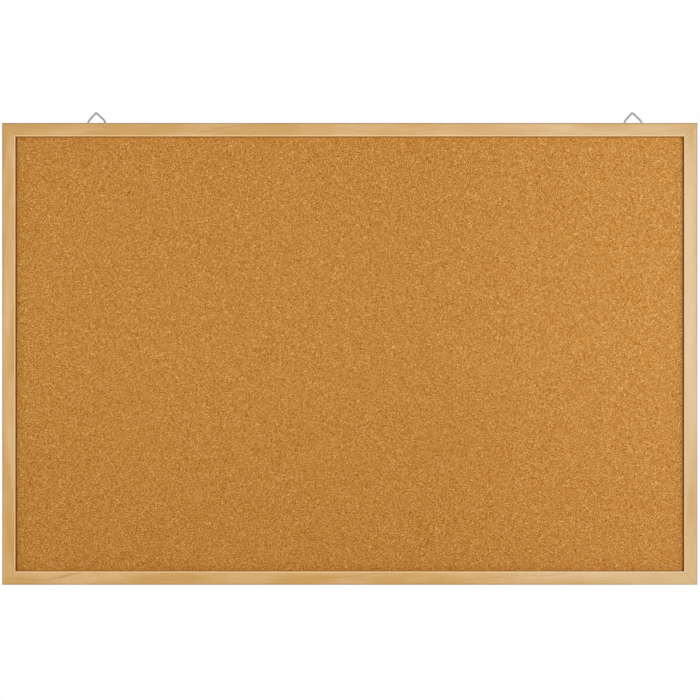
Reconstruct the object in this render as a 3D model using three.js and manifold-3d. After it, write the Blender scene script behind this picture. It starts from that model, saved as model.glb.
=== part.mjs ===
// Wall cork board: a mitred wood frame, grooved to hold a cork-faced fibreboard panel, with two
// triangle ring hangers screwed to the back of the top rail.
// Millimetres. +X is to the right seen from the front, +Y points at the wall, +Z is up.
// The origin is the middle of the bottom rail's back face, which lies against the wall.
import * as THREE from "three";
import { mergeVertices } from "three/addons/utils/BufferGeometryUtils.js";
import Module from "manifold-3d";

// Frame moulding
const boardWidth = 900;
const boardHeight = 598;
const outerWood = 11; // from the outer edge to the groove's floor
const grooveDepth = 7; // from the opening's edge into the moulding
const frontLip = 6.5; // wood in front of the cork, so the depth of the recess
const backLip = 2.9; // wood behind the panel
const outerRound = 3; // front arris all round the outside
const innerRound = 1; // front arris round the opening
const backBevel = 0.8; // both back arrises
const glueLine = 0.05; // between the two cut faces of a mitre
const roundSteps = 8; // straight steps in each rounded arris

// Panel, three layers glued together and held in the groove
const corkThickness = 2;
const coreThickness = 6;
const paperThickness = 0.4;
const panelPlay = 0.2; // in the groove, behind the panel
const edgeGap = 1; // between the panel's edges and the groove's floor

// V-nails, two across the back of each mitre
const nailWing = 7; // from the bend to a wing's end
const nailSheet = 0.6;
const nailHeight = 8; // into the wood
const nailInset = 0.2; // below the back face
const nailFit = 0.15; // round the nail in its slot
const nailEdge = 3.6; // from both outer edges to the outer nail's sheet
const nailWall = 2.7; // wood between the inner nail and the groove
const overrun = 1; // how far a cutter passes through a surface

// Hanger ring, bent from wire into a triangle with round corners
const wireRadius = 1.2;
const ringWidth = 23.1; // between wire centres at the widest
const ringHeight = 19.3; // between wire centres, base bar to apex
const ringFootRound = 4; // of the two bottom corners, to the wire's centre
const ringSideRound = 10.5; // where the sides bow in above them, to the wire's centre
const ringApexRound = 2; // of the top corner, to the wire's centre
const ringApexShift = -0.85; // of the apex, off the ring's middle
const ringJointGap = 0.6; // between the wire's two ends, in the middle of the base bar
const wireSides = 12;
const footSteps = 7; // round each bottom corner
const sideSteps = 5; // round each bowed side
const apexSteps = 8; // round the top corner

// Hanger strap, folded from sheet round the ring's base bar
const strapWidth = 9.5;
const strapSheet = 0.8;
const strapSlit = 0.1; // between the two layers under the fold
const barPlay = 0.3; // round the base bar in the fold
const neckRound = 1.2; // where the back layer turns in under the fold, to the sheet's middle
const strapReach = 12.4; // from the base bar's centre down to the strap's end
const strapCorner = 2.6; // of the two bottom corners
const foldSteps = 26;
const neckSteps = 6;

// Hanger screw, pan head with a cross recess
const headClear = 0.1; // between the head and the strap's neck
const holeWall = 0.65; // wood between the screw's hole and the groove
const screwLength = 12; // under the head
const screwRadius = 1.5; // over the thread
const screwRoot = 1.05; // under the thread
const threadPitch = 1.3;
const ridgeShare = 0.5; // of the pitch, taken by the ridge
const screwPoint = 2.4; // length of the taper
const screwTip = 0.2; // radius of the blunt point
const headRadius = 2.8;
const headHeight = 1.9;
const headRim = 0.5; // straight side of the head
const recessLength = 3; // of each of the two slots of the cross
const recessWidth = 0.75;
const recessDepth = 1.1;
const screwSides = 20;
const stepsPerTurn = 6;
const holeFit = 0.15; // round the screw in the wood
const strapHoleFit = 0.25; // round the screw in the strap

// Where the hangers sit along the top rail, from the board's two ends
const leftHangerInset = 118;
const rightHangerInset = 78.5;

// Worked out from the sizes above
const panelThickness = corkThickness + coreThickness + paperThickness;
const railWidth = outerWood + grooveDepth; // across the face, from the outer edge to the opening
const railDepth = frontLip + panelThickness + panelPlay + backLip; // from the front face to the wall
const boardTop = boardHeight - railWidth / 2;
const corkFace = frontLip - railDepth;
const coreFace = corkFace + corkThickness;
const paperFace = coreFace + coreThickness;
const panelWidth = boardWidth - 2 * (outerWood + edgeGap);
const panelHeight = boardHeight - 2 * (outerWood + edgeGap);
const panelMiddle = boardTop - boardHeight / 2;
const nailOffsets = { outer: nailEdge, inner: outerWood - nailWall - nailSheet / 2 };
const foldRadius = wireRadius + barPlay + strapSheet / 2; // to the sheet's middle
const barBack = foldRadius + strapSheet / 2; // from the rail's back face to the bar's centre
const strapBack = 2 * strapSheet + strapSlit;
const outerLayer = strapBack - strapSheet / 2; // middle of the strap's layer away from the wood
const neckX = outerLayer + neckRound;
const neckDrop = Math.sqrt((foldRadius + neckRound) ** 2 - (neckX - barBack) ** 2);
const screwDrop = neckDrop + headRadius + headClear; // from the bar's centre down to the screw
const screwEdge = outerWood - holeWall - holeFit - screwRadius; // from the board's top edge
const barHeight = boardTop - screwEdge + screwDrop;
const leftHangerX = leftHangerInset - boardWidth / 2;
const rightHangerX = boardWidth / 2 - rightHangerInset;

const wasm = await Module();
wasm.setup();

// A mesh's surface as a solid that can be cut.
function solid(geometry) {
  const bare = geometry.clone();
  bare.deleteAttribute("normal");
  bare.deleteAttribute("uv");
  const merged = mergeVertices(bare);
  return new wasm.Manifold(
    new wasm.Mesh({
      numProp: 3,
      vertProperties: new Float32Array(merged.attributes.position.array),
      triVerts: new Uint32Array(merged.index.array),
    }),
  );
}

// A cut solid as a mesh's surface.
function surface(body) {
  const mesh = body.getMesh();
  const geometry = new THREE.BufferGeometry();
  geometry.setAttribute("position", new THREE.BufferAttribute(mesh.vertProperties, 3));
  geometry.setIndex(new THREE.BufferAttribute(mesh.triVerts, 1));
  geometry.computeVertexNormals();
  return geometry;
}

// An outline carried straight along its normal, with its x, y and length turned onto the given axes.
function carry(shape, length, steps, across, up, along) {
  const geometry = new THREE.ExtrudeGeometry(shape, {
    depth: length,
    steps: 1,
    bevelEnabled: false,
    curveSegments: steps,
  });
  return geometry.applyMatrix4(new THREE.Matrix4().makeBasis(across, up, along));
}

const right = new THREE.Vector3(1, 0, 0);
const back = new THREE.Vector3(0, 1, 0);
const up = new THREE.Vector3(0, 0, 1);
const front = back.clone().negate();

function wood() {
  return new THREE.MeshStandardMaterial({ color: "#d5ab70", roughness: 0.45, metalness: 0 });
}

function cork() {
  return new THREE.MeshStandardMaterial({ color: "#c1853f", roughness: 0.95, metalness: 0 });
}

function fibreboard() {
  return new THREE.MeshStandardMaterial({ color: "#a4835c", roughness: 0.95, metalness: 0 });
}

function kraftPaper() {
  return new THREE.MeshStandardMaterial({ color: "#b5925f", roughness: 0.85, metalness: 0 });
}

function platedSteel() {
  return new THREE.MeshStandardMaterial({ color: "#c9ccce", roughness: 0.3, metalness: 1 });
}

function mesh(name, geometry, material) {
  const made = new THREE.Mesh(geometry, material);
  made.name = name;
  return made;
}

// The moulding's section: x from the outer edge inward, y from the wall forward.
function mouldingSection() {
  const grooveFront = railDepth - frontLip;
  const section = new THREE.Shape();
  section.moveTo(backBevel, 0);
  section.lineTo(railWidth - backBevel, 0);
  section.lineTo(railWidth, backBevel);
  section.lineTo(railWidth, backLip);
  section.lineTo(outerWood, backLip);
  section.lineTo(outerWood, grooveFront);
  section.lineTo(railWidth, grooveFront);
  section.lineTo(railWidth, railDepth - innerRound);
  section.absarc(railWidth - innerRound, railDepth - innerRound, innerRound, 0, Math.PI / 2);
  section.lineTo(outerRound, railDepth);
  section.absarc(outerRound, railDepth - outerRound, outerRound, Math.PI / 2, Math.PI);
  section.lineTo(0, backBevel);
  section.closePath();
  return section;
}

// One length of moulding, lying along X with its outer edge at z = 0 and its ends cut at 45 degrees.
function mouldingLength(length) {
  const rail = carry(mouldingSection(), length, roundSteps, up, front, right);
  const half = length / 2;
  const glueShare = glueLine / Math.SQRT2; // each end gives up half the glue line, square to the cut
  const place = rail.attributes.position;
  for (let i = 0; i < place.count; i += 1) {
    const end = place.getX(i) > half ? 1 : -1;
    place.setX(i, end * (half - place.getZ(i) - glueShare));
  }
  return rail;
}

// A V-nail's outline from above: two wings at right angles, grown by fit on every side.
function nailOutline(offset, fit) {
  const half = nailSheet / 2 + fit;
  const near = offset - half;
  const inside = offset + half;
  const far = offset + nailWing + fit;
  const outline = new THREE.Shape();
  outline.moveTo(near, near);
  outline.lineTo(far, near);
  outline.lineTo(far, inside);
  outline.lineTo(inside, inside);
  outline.lineTo(inside, far);
  outline.lineTo(near, far);
  outline.closePath();
  return outline;
}

// A V-nail at the bottom left corner of a frame whose outer corner is at x = 0, z = 0.
function vNail(offset) {
  const nail = carry(nailOutline(offset, 0), nailHeight, 1, up, right, back);
  return nail.translate(0, -nailInset - nailHeight, 0);
}

function vNailSlot(offset) {
  const depth = nailInset + nailHeight;
  const slot = carry(nailOutline(offset, nailFit), depth + overrun, 1, up, right, back);
  return slot.translate(0, -depth, 0);
}

// Moulding with the four half slots of its V-nails, cut by the whole slots of both its corners.
function nailedMoulding(length) {
  let rail = solid(mouldingLength(length));
  for (const offset of Object.values(nailOffsets)) {
    const slot = vNailSlot(offset);
    const leftSlot = slot.clone().translate(-length / 2, 0, 0);
    const rightSlot = slot.clone().rotateY(-Math.PI / 2).translate(length / 2, 0, 0);
    rail = rail.subtract(solid(leftSlot)).subtract(solid(rightSlot));
  }
  return rail;
}

// The hole for one hanger's screw, in the frame of a rail that stands with its outer edge down.
function screwHole(x) {
  const depth = screwLength - strapBack + holeFit;
  const hole = new THREE.CylinderGeometry(
    screwRadius + holeFit,
    screwRadius + holeFit,
    depth + overrun,
    screwSides,
  );
  return hole.translate(x, (overrun - depth) / 2, screwEdge);
}

// The four sides of the frame. Each is built outer edge down and turned into place about the board.
function frame() {
  const group = new THREE.Group();
  const middle = new THREE.Group();
  middle.position.z = panelMiddle;
  group.add(middle);
  const sides = [
    { name: "bottom_rail", length: boardWidth, across: boardHeight, turn: 0, holes: [] },
    { name: "right_stile", length: boardHeight, across: boardWidth, turn: -Math.PI / 2, holes: [] },
    {
      name: "top_rail",
      length: boardWidth,
      across: boardHeight,
      turn: Math.PI,
      holes: [-leftHangerX, -rightHangerX],
    },
    { name: "left_stile", length: boardHeight, across: boardWidth, turn: Math.PI / 2, holes: [] },
  ];
  for (const side of sides) {
    let rail = nailedMoulding(side.length);
    for (const x of side.holes) {
      rail = rail.subtract(solid(screwHole(x)));
    }
    const geometry = surface(rail).translate(0, 0, -side.across / 2);
    const made = mesh(side.name, geometry, wood());
    made.rotation.y = side.turn;
    middle.add(made);
  }
  return group;
}

// A flat layer of the panel, its front face at the given y.
function layer(name, thickness, face, material) {
  const made = mesh(name, new THREE.BoxGeometry(panelWidth, thickness, panelHeight), material);
  made.position.set(0, face + thickness / 2, panelMiddle);
  return made;
}

function panel() {
  const group = new THREE.Group();
  group.add(layer("cork_sheet", corkThickness, corkFace, cork()));
  group.add(layer("fibreboard_core", coreThickness, coreFace, fibreboard()));
  group.add(layer("backing_paper", paperThickness, paperFace, kraftPaper()));
  return group;
}

// Two V-nails in each corner. A corner is the bottom left one, turned about the board's middle.
function cornerNails() {
  const group = new THREE.Group();
  const corners = [
    { name: "bottom_left", x: -boardWidth / 2, z: -boardHeight / 2, turn: 0 },
    { name: "bottom_right", x: boardWidth / 2, z: -boardHeight / 2, turn: -Math.PI / 2 },
    { name: "top_right", x: boardWidth / 2, z: boardHeight / 2, turn: Math.PI },
    { name: "top_left", x: -boardWidth / 2, z: boardHeight / 2, turn: Math.PI / 2 },
  ];
  for (const corner of corners) {
    for (const [place, offset] of Object.entries(nailOffsets)) {
      const nail = mesh(`v_nail_${corner.name}_${place}`, vNail(offset), platedSteel());
      nail.rotation.y = corner.turn;
      nail.position.set(corner.x, 0, panelMiddle + corner.z);
      group.add(nail);
    }
  }
  return group;
}

// Points along an arc and the way the wire runs there, both ends included.
function arcStations(centre, radius, from, to, steps) {
  const stations = [];
  for (let i = 0; i <= steps; i += 1) {
    const angle = from + ((to - from) * i) / steps;
    const out = new THREE.Vector2(Math.cos(angle), Math.sin(angle));
    stations.push({ point: out.clone().multiplyScalar(radius).add(centre), out });
  }
  return stations;
}

// The angle of the outward normal of the straight wire that touches two round corners.
function tangentAngle(from, fromRadius, to, toRadius) {
  const run = to.clone().sub(from);
  return run.angle() - Math.PI / 2 + Math.asin((fromRadius - toRadius) / run.length());
}

// The ring's centre line in x and z, from one cut end of the base bar round to the other.
function ringStations() {
  const down = -Math.PI / 2;
  const footX = ringWidth / 2 - ringFootRound;
  const sideX = ringWidth / 2 - ringSideRound;
  const rightFoot = new THREE.Vector2(footX, ringFootRound);
  const rightSide = new THREE.Vector2(sideX, ringFootRound);
  const leftFoot = new THREE.Vector2(-footX, ringFootRound);
  const leftSide = new THREE.Vector2(-sideX, ringFootRound);
  const apex = new THREE.Vector2(ringApexShift, ringHeight - ringApexRound);
  const rise = tangentAngle(rightSide, ringSideRound, apex, ringApexRound);
  const fall = tangentAngle(apex, ringApexRound, leftSide, ringSideRound);
  const floor = new THREE.Vector2(0, -1);
  return [
    { point: new THREE.Vector2(ringJointGap / 2, 0), out: floor },
    ...arcStations(rightFoot, ringFootRound, down, 0, footSteps),
    ...arcStations(rightSide, ringSideRound, 0, rise, sideSteps).slice(1),
    ...arcStations(apex, ringApexRound, rise, fall, apexSteps),
    ...arcStations(leftSide, ringSideRound, fall, Math.PI, sideSteps),
    ...arcStations(leftFoot, ringFootRound, Math.PI, Math.PI - down, footSteps).slice(1),
    { point: new THREE.Vector2(-ringJointGap / 2, 0), out: floor },
  ];
}

// Round wire along stations in the x, z plane, closed at both ends.
function wire(stations, radius, sides) {
  const places = [];
  for (const { point, out } of stations) {
    for (let k = 0; k < sides; k += 1) {
      const turn = (2 * Math.PI * k) / sides;
      const outward = radius * Math.cos(turn);
      places.push(point.x + out.x * outward, radius * Math.sin(turn), point.y + out.y * outward);
    }
  }
  const faces = [];
  const last = stations.length - 1;
  for (let k = 0; k < sides; k += 1) {
    const next = (k + 1) % sides;
    for (let i = 0; i < last; i += 1) {
      const a = i * sides + k;
      const b = i * sides + next;
      faces.push(a, b, a + sides, b, b + sides, a + sides);
    }
    if (k > 0 && next > 0) {
      faces.push(0, next, k, last * sides, last * sides + k, last * sides + next);
    }
  }
  const geometry = new THREE.BufferGeometry();
  geometry.setAttribute("position", new THREE.Float32BufferAttribute(places, 3));
  geometry.setIndex(faces);
  geometry.computeVertexNormals();
  return geometry;
}

// The folded strap's section: x from the rail's back face to the wall, y up from the base bar's centre.
function strapSection() {
  const half = strapSheet / 2;
  const bar = new THREE.Vector2(barBack, 0);
  const neck = new THREE.Vector2(neckX, -neckDrop);
  const meet = neck.clone().sub(bar).angle() - 2 * Math.PI;
  const fold = arcStations(bar, foldRadius, Math.PI, meet, foldSteps);
  const turnIn = arcStations(neck, neckRound, meet + Math.PI, Math.PI, neckSteps);
  const centre = [
    { point: new THREE.Vector2(half, -strapReach), out: new THREE.Vector2(-1, 0) },
    ...fold,
    ...turnIn.map(({ point, out }) => ({ point, out: out.clone().negate() })),
    { point: new THREE.Vector2(outerLayer, -strapReach), out: new THREE.Vector2(1, 0) },
  ];
  const offset = (side) => centre.map(({ point, out }) => point.clone().addScaledVector(out, side));
  return new THREE.Shape([...offset(half), ...offset(-half).reverse()]);
}

// The strap's outline seen from behind, with its two bottom corners rounded.
function strapOutline() {
  const half = strapWidth / 2;
  const top = foldRadius + strapSheet;
  const cornerX = half - strapCorner;
  const cornerZ = strapCorner - strapReach;
  const outline = new THREE.Shape();
  outline.moveTo(half, top);
  outline.lineTo(-half, top);
  outline.lineTo(-half, cornerZ);
  outline.absarc(-cornerX, cornerZ, strapCorner, Math.PI, 1.5 * Math.PI);
  outline.lineTo(cornerX, -strapReach);
  outline.absarc(cornerX, cornerZ, strapCorner, -Math.PI / 2, 0);
  outline.closePath();
  return outline;
}

// The strap about the base bar's centre, with y = 0 on the rail's back face.
function strap() {
  const depth = barBack + foldRadius + strapSheet;
  const folded = carry(strapSection(), strapWidth, 1, back, up, right).translate(-strapWidth / 2, 0, 0);
  const outline = carry(strapOutline(), depth + 2 * overrun, roundSteps, right, up, front);
  outline.translate(0, depth + overrun, 0);
  const holeRadius = screwRadius + strapHoleFit;
  const hole = new THREE.CylinderGeometry(holeRadius, holeRadius, 2 * depth, screwSides);
  hole.translate(0, 0, -screwDrop);
  return surface(solid(folded).intersect(solid(outline)).subtract(solid(hole)));
}

// The head's profile above the strap, then the thread's root down to the point, as radius and height.
function headProfile() {
  const domeRise = headHeight - headRim;
  const domeRadius = (headRadius ** 2 + domeRise ** 2) / (2 * domeRise);
  const domeCentre = headHeight - domeRadius;
  const start = Math.asin(headRadius / domeRadius);
  const dome = [];
  for (let i = 0; i <= roundSteps; i += 1) {
    const angle = start * (1 - i / roundSteps);
    dome.push(new THREE.Vector2(domeRadius * Math.sin(angle), domeCentre + domeRadius * Math.cos(angle)));
  }
  dome[roundSteps].x = 0;
  return [new THREE.Vector2(0, 0), new THREE.Vector2(headRadius, 0), ...dome];
}

// The threaded shank below y = 0: its radius rises and falls with the angle and the depth, so one
// ridge winds down it, and it tapers to a blunt point.
function threadedShank() {
  const turns = screwLength / threadPitch;
  const rings = Math.round(turns * stepsPerTurn);
  const places = [];
  const faces = [];
  for (let i = 0; i <= rings; i += 1) {
    const depth = (screwLength * i) / rings;
    const taper = Math.min(1, (screwLength - depth) / screwPoint);
    for (let k = 0; k < screwSides; k += 1) {
      const share = k / screwSides;
      const phase = (depth / threadPitch + share) % 1;
      const ridge = Math.max(0, 1 - Math.abs(2 * phase - 1) / ridgeShare);
      const radius = screwTip + taper * (screwRoot - screwTip + ridge * (screwRadius - screwRoot));
      const angle = 2 * Math.PI * share;
      places.push(radius * Math.cos(angle), -depth, radius * Math.sin(angle));
    }
  }
  for (let k = 0; k < screwSides; k += 1) {
    const next = (k + 1) % screwSides;
    for (let i = 0; i < rings; i += 1) {
      const a = i * screwSides + k;
      const b = i * screwSides + next;
      faces.push(a, b, a + screwSides, b, b + screwSides, a + screwSides);
    }
    if (k > 0 && next > 0) {
      const end = rings * screwSides;
      faces.push(0, next, k, end, end + k, end + next);
    }
  }
  const geometry = new THREE.BufferGeometry();
  geometry.setAttribute("position", new THREE.Float32BufferAttribute(places, 3));
  geometry.setIndex(faces);
  return geometry;
}

// The screw, its head's underside at y = 0 and its point towards -Y.
function screw() {
  const head = new THREE.LatheGeometry(headProfile(), screwSides);
  const slot = new THREE.BoxGeometry(recessLength, 2 * recessDepth, recessWidth);
  slot.translate(0, headHeight, 0);
  const cross = solid(slot).add(solid(slot.clone().rotateY(Math.PI / 2)));
  return surface(solid(head).add(solid(threadedShank())).subtract(cross));
}

// Strap, ring and screw of one hanger, about the base bar's centre.
function hanger(side, x) {
  const group = new THREE.Group();
  group.position.set(x, 0, barHeight);
  group.add(mesh(`${side}_hanger_strap`, strap(), platedSteel()));
  const ring = mesh(
    `${side}_hanger_ring`,
    wire(ringStations(), wireRadius, wireSides),
    platedSteel(),
  );
  ring.position.y = barBack;
  group.add(ring);
  const fixing = mesh(`${side}_hanger_screw`, screw(), platedSteel());
  fixing.position.set(0, strapBack, -screwDrop);
  group.add(fixing);
  return group;
}

const board = new THREE.Group();
board.add(frame(), panel(), cornerNails(), hanger("left", leftHangerX), hanger("right", rightHangerX));

export default board;
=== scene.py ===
"""The looks of a wall cork board: a mitred frame of pale lacquered wood, a sheet of fine cork on a
fibreboard core, kraft paper behind it, and two triangular wire rings that hang it.

Metres. +X is to the right seen from the front, +Y points at the wall, +Z is up.
"""

import math

import bpy
import numpy as np
from bpy.props import FloatProperty, FloatVectorProperty, IntProperty, PointerProperty
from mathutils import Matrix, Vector


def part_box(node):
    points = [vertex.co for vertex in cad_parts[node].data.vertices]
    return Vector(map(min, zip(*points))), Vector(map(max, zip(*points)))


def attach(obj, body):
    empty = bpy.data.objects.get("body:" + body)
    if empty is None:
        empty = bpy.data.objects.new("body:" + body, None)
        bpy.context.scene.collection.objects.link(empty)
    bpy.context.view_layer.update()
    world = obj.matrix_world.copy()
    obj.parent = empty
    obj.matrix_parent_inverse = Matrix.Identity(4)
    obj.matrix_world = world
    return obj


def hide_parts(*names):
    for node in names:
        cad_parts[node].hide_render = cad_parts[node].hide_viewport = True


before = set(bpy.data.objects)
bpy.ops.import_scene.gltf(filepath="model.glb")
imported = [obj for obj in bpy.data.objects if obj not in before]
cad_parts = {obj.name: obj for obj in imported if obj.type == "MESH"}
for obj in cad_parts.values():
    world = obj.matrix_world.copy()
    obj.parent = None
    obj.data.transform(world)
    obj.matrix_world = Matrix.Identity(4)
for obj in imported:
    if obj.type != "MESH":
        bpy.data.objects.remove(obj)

bl_info = {
    "name": "Cork Board",
    "version": (1, 0, 0),
    "blender": (4, 5, 0),
    "location": "View3D > Sidebar > Cork Board",
    "description": "Builds a wood-framed wall cork board piece by piece, with its studio",
    "category": "Object",
}

SMOOTH_ANGLE = math.radians(35)  # faces that meet at more than this keep a sharp edge

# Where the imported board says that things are

CORK_LOW, CORK_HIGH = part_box("cork_sheet")
PAPER_LOW, PAPER_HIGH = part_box("backing_paper")
OUTER_LOW = Vector((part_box("left_stile")[0].x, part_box("left_stile")[0].y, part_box("bottom_rail")[0].z))
OUTER_HIGH = Vector((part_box("right_stile")[1].x, 0.0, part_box("top_rail")[1].z))
MIDDLE_Z = (OUTER_LOW.z + OUTER_HIGH.z) / 2
RAIL_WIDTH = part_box("bottom_rail")[1].z - OUTER_LOW.z
RAIL_DEPTH = OUTER_HIGH.y - OUTER_LOW.y
OPENING_RIGHT = OUTER_HIGH.x - RAIL_WIDTH
MITRE_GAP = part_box("bottom_rail")[0].x - OUTER_LOW.x  # from the corner to a rail's cut, along the rail
SIDES = ("left", "right")

# Which way the two wings of each V-nail point from its bend, in x and z

CORNERS = {
    "bottom_left": (1, 1),
    "bottom_right": (-1, 1),
    "top_right": (-1, -1),
    "top_left": (1, -1),
}
V_NAILS = {
    f"v_nail_{corner}_{place}": wings for corner, wings in CORNERS.items() for place in ("outer", "inner")
}

# Fits, thicknesses and radii of the joints

EDGE_GAP = 0.001  # from the panel's edge to the groove's floor
PANEL_PLAY = 0.0002  # behind the panel in the groove
CUT_PAST = 0.001  # how far a cutter runs on past what it cuts
NAIL_SHEET = 0.0006
NAIL_FIT = 0.00015  # round a nail in its slot
THREAD_ROUND = 0.0015  # radius of a screw over its thread
HOLE_FIT = 0.00015  # round a screw in the wood
STRAP_SHEET = 0.0008
STRAP_SLIT = 0.0001  # between the strap's two layers
STRAP_CORNER = 0.0026  # radius of the corners at the strap's two ends
CORNER_STATIONS = 15  # stations in the length of such a corner
STRAP_HOLE = 0.00175  # radius of the holes in the strap
NECK_ROUND = 0.0012  # where the strap turns in under its fold
WIRE_JOINT = 0.0006  # between the ends of a ring's wire

# Granules, grain, and the painted shade, highlight and sheen on wood and cork. In each pair the first is
# where that starts, the second where it is full.

GRAIN_STEP = (1.37, 0.61, 0.83)  # from one stretch of grain to the next
ARRIS_SHADE_IN = (0.0026, 0.0005)  # outer arris, in from the board's outline
ARRIS_SHADE_BACK = (0.0035, 0.0015)  # outer arris, back from the front face
ARRIS_HIGHLIGHT_OUT = (0.0018, 0.001)  # inner arris, out from the opening
RECESS_SHADE_OUT = (0.00025, 0.00004)  # recess wall, out from the opening
RECESS_SHADE_AHEAD = 0.0005  # recess wall, in front of the cork: the painted shade is full from there on
RECESS_SHADE_ON_RAILS = 0.25  # share of the painted shade that the rails take, while the stiles take all of it
LACQUER_GLOSS = 0.3  # weight of the clear coat, and the reflection level under it
WOOD_SHEEN_START = 0.04  # right of the board's middle; it is full at the opening's right-hand side
WOOD_SHEEN = 0.36  # share of the painted sheen's colour there
CORK_SHEEN_START = 0.1  # the same for the cork
CORK_SHEEN_TINT = (1.13, 1.165, 1.3)  # what the cork's colour is multiplied by under the painted sheen
CORK_FOOT = 0.02  # height up to which the foot of the cork is darkest
# Painted shade at the foot of the cork multiplies its colour by this.
CORK_FOOT_SHADE = (0.92, 0.89, 0.85)
SMALL_GRANULE = 0.6  # of the larger ones' width

# Rolling faces of the cork and the paper

SHEET_POINTS = (181, 121)  # points across a face and up it
CORK_SEED = 11
PAPER_SEED = 23

# The studio's measures

FLOOR_REACH = 20.0  # from the middle of the floor to its sides
FLOOR_FADE = (0.7, 1.9)  # from the board's foot: the floor starts to fade, and is plain white
CAMERA_X = 0.0003
SOFTBOXES = (
    # name, setting that holds its power, place, width and height
    ("right_softbox", "right_power", (0.75, -2.8, 0.6), 1.8, 1.3),
    ("left_softbox", "left_power", (-1.1, -2.8, 0.6), 1.4, 1.3),
    ("rear_left_softbox", "rear_power", (-1.6, 2.5, 0.1), 3.0, 1.5),
    ("rear_right_softbox", "rear_power", (1.6, 2.5, 0.1), 3.0, 1.5),
)


def middle_of(node):
    """The x, y and z of the middle of a node's box."""
    return tuple((low + high) / 2 for low, high in zip(*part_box(node)))


def tone(red, green, blue):
    """A colour given as it looks on screen, 0 to 255, as the linear values that shaders read.

    Each share s becomes ((s + 0.055) / 1.055) to the power 2.4, or s / 12.92 near black.
    """
    share = np.array([red, green, blue], float) / 255
    linear = np.where(share > 0.04045, ((share + 0.055) / 1.055) ** 2.4, share / 12.92)
    return tuple(float(value) for value in linear)


COLOUR = {"subtype": "COLOR", "size": 3, "min": 0, "max": 1}


class MouldingSettings(bpy.types.PropertyGroup):
    """Sizes and colours of the frame"""

    outer_round: FloatProperty(
        name="Outer Round", description="Radius of the front arris round the outside",
        default=0.003, min=0.0002, max=0.005, unit="LENGTH",
    )
    inner_round: FloatProperty(
        name="Inner Round", description="Radius of the front arris round the opening",
        default=0.001, min=0.0002, max=0.003, unit="LENGTH",
    )
    back_bevel: FloatProperty(
        name="Back Bevel", description="Width of the bevels on the two back arrises",
        default=0.0008, min=0.0001, max=0.002, unit="LENGTH",
    )
    mitre_ease: FloatProperty(
        name="Mitre Ease", description="Bevel left by sanding on the edges of each mitre cut",
        default=0.00012, min=0.00002, max=0.001, unit="LENGTH",
    )
    wood_colour: FloatVectorProperty(
        name="Wood", description="Main colour of the lacquered wood",
        default=tone(207, 158, 83), **COLOUR,
    )
    pale_colour: FloatVectorProperty(
        name="Pale Streaks", description="Colour of the paler, pinker streaks in the wood",
        default=tone(221, 181, 123), **COLOUR,
    )
    line_colour: FloatVectorProperty(
        name="Growth Lines", description="Colour of the thin growth lines",
        default=tone(175, 124, 61), **COLOUR,
    )
    # Painted shade: the outer arris is greyed towards this colour, as the shade where it turns away from the
    # light.
    arris_shade_colour: FloatVectorProperty(
        name="Outer Arris", description="Colour that the outer arris greys towards",
        default=tone(158, 134, 96), **COLOUR,
    )
    # Painted highlight: the arris round the opening is paled towards this colour, as light catching it.
    arris_highlight_colour: FloatVectorProperty(
        name="Inner Arris", description="Colour that the arris round the opening is rubbed towards",
        default=tone(248, 206, 142), **COLOUR,
    )
    # Painted sheen: the wood is paled towards this colour at the board's right-hand end, as the sheen of
    # light from the right.
    painted_sheen_colour: FloatVectorProperty(
        name="Faded Wood", description="Colour that the wood pales towards at the board's right-hand end",
        default=tone(228, 206, 166), **COLOUR,
    )
    # Painted shade: the wood round the recess, in front of the cork, is coloured this dark brown as the
    # shade in the recess.
    recess_shade_colour: FloatVectorProperty(
        name="Recess Wall", description="Colour of the stained wood round the recess, in front of the cork",
        default=tone(120, 61, 3), **COLOUR,
    )


class PanelSettings(bpy.types.PropertyGroup):
    """Sizes and colours of the cork, the paper and the core"""

    granule_size: FloatProperty(
        name="Granule Size", description="Width of the larger cork granules",
        default=0.00085, min=0.0005, max=0.006, unit="LENGTH",
    )
    cork_roll: FloatProperty(
        name="Cork Roll", description="Height of the slight unevenness of the cork's face",
        default=0.00008, min=0, max=0.0005, unit="LENGTH",
    )
    cork_colour: FloatVectorProperty(
        name="Cork", description="Main colour of the granules",
        default=tone(210, 140, 46), **COLOUR,
    )
    dark_cork: FloatVectorProperty(
        name="Dark Cork", description="Colour of the darkest granules and of the gaps between granules",
        default=tone(136, 69, 0), **COLOUR,
    )
    light_cork: FloatVectorProperty(
        name="Light Cork", description="Colour of the lightest granules",
        default=tone(255, 212, 136), **COLOUR,
    )
    paper_cockle: FloatProperty(
        name="Paper Cockle", description="Height of the blisters in the glued backing paper",
        default=0.00012, min=0, max=0.0002, unit="LENGTH",
    )
    paper_colour: FloatVectorProperty(
        name="Kraft Paper", description="Colour of the backing paper",
        default=tone(181, 146, 95), **COLOUR,
    )
    core_colour: FloatVectorProperty(
        name="Fibreboard", description="Colour of the core",
        default=tone(164, 131, 92), **COLOUR,
    )


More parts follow.
